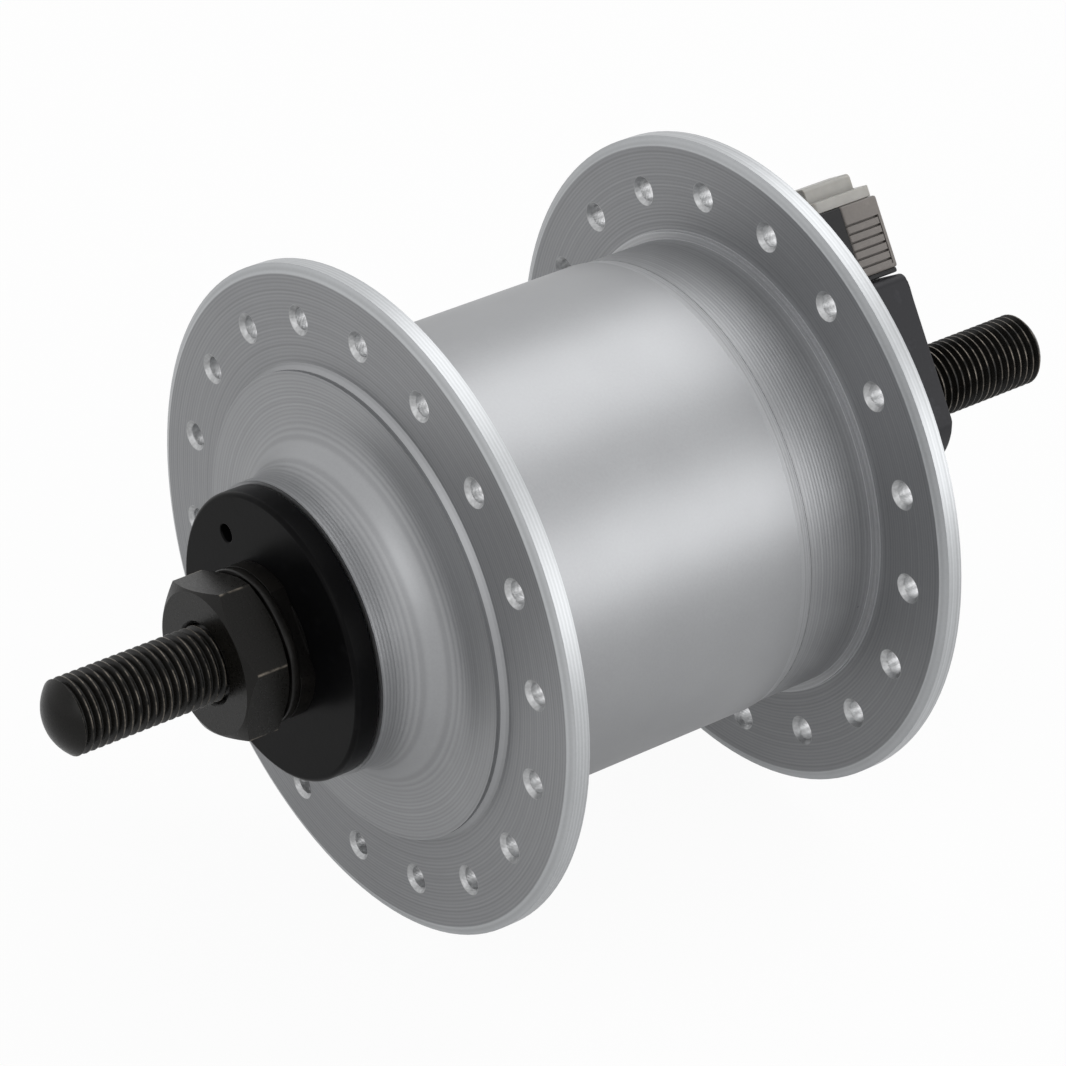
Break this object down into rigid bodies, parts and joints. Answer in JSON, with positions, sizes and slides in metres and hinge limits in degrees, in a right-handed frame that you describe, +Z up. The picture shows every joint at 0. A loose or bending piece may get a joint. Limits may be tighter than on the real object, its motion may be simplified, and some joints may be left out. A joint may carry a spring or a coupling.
{
  "type": "hub dynamo",
  "caption": "Bicycle front hub with a claw-pole generator inside: solid threaded axle, two drilled spoke flanges, plug-in lamp connector on one side.",
  "frame": {"origin": "on the axle's line, midway between the two faces that the fork ends clamp", "axes": "+Y along the axle towards the plain end, -Y towards the connector, +Z up as in the picture"},
  "size_m": [0.0786, 0.14, 0.0786],
  "materials": {
    "shell_alloy": "satin, bead blasted and clear lacquered",
    "axle_steel": "black oxide, worn bright on crests and corners",
    "black_cover": "satin black",
    "terminal_plastic": "moulded, slightly scuffed",
    "plug_grey": "moulded, ribbed",
    "lid_clear": "milky translucent",
    "bearing_steel": "ground",
    "zinc_steel": "zinc plated",
    "stator_steel": "stamped electrical steel",
    "magnet": "sintered ferrite",
    "bobbin_plastic": "natural nylon",
    "copper": "enamelled copper",
    "contact_metal": "plated spring brass",
    "rubber": "moulded nitrile"
  },
  "bodies": {
    "axle_unit": {"axle": "axle_steel", "left_locknut": "axle_steel", "left_washer": "axle_steel", "left_cone": "axle_steel", "left_dust_cover": "black_cover", "right_cone": "bearing_steel", "right_dust_cover": "black_cover", "right_washer": "zinc_steel", "right_spacer": "axle_steel", "right_locknut": "axle_steel", "left_claw_plate": "stator_steel", "right_claw_plate": "stator_steel", "stator_core": "stator_steel", "coil_bobbin": "bobbin_plastic", "coil_winding": "copper", "stator_washer": "zinc_steel", "stator_nut": "zinc_steel", "lead_wire": "copper", "lead_sleeve": "bobbin_plastic", "terminal_body": "terminal_plastic", "contact_blades": "contact_metal"},
    "hub_shell": {"shell_barrel": "shell_alloy", "end_cap": "shell_alloy", "shell_o_ring": "rubber", "magnet_yoke": "stator_steel", "magnets": "magnet", "left_cup": "bearing_steel", "right_cup": "bearing_steel", "left_seal": "rubber", "right_seal": "rubber"},
    "left_bearing": {"left_balls": "bearing_steel", "left_ball_cage": "zinc_steel"},
    "right_bearing": {"right_balls": "bearing_steel", "right_ball_cage": "zinc_steel"},
    "plug": {"plug_body": "terminal_plastic", "plug_cover": "plug_grey", "plug_contacts": "contact_metal"},
    "plug_lid": {"plug_lid": "lid_clear"}
  },
  "joints": [
    {"name": "shell_spin", "type": "hinge", "parent": "axle_unit", "child": "hub_shell", "pos_m": [0, 0, 0], "axis": [0, 1, 0], "continuous": true},
    {"name": "left_bearing_orbit", "type": "hinge", "parent": "axle_unit", "child": "left_bearing", "pos_m": [0, 0.0325, 0], "axis": [0, 1, 0], "continuous": true},
    {"name": "right_bearing_orbit", "type": "hinge", "parent": "axle_unit", "child": "right_bearing", "pos_m": [0, -0.0285, 0], "axis": [0, 1, 0], "continuous": true},
    {"name": "plug_pull", "type": "slide", "parent": "axle_unit", "child": "plug", "axis": [0.515, 0, 0.8572], "range_m": [0, 0.012]},
    {"name": "lid_pull", "type": "slide", "parent": "plug", "child": "plug_lid", "axis": [0.515, 0, 0.8572], "range_m": [0, 0.006]}
  ],
  "couplings": [
    {"joint": "left_bearing_orbit", "follows": "shell_spin", "ratio": 0.5859},
    {"joint": "right_bearing_orbit", "follows": "shell_spin", "ratio": 0.5859}
  ]
}
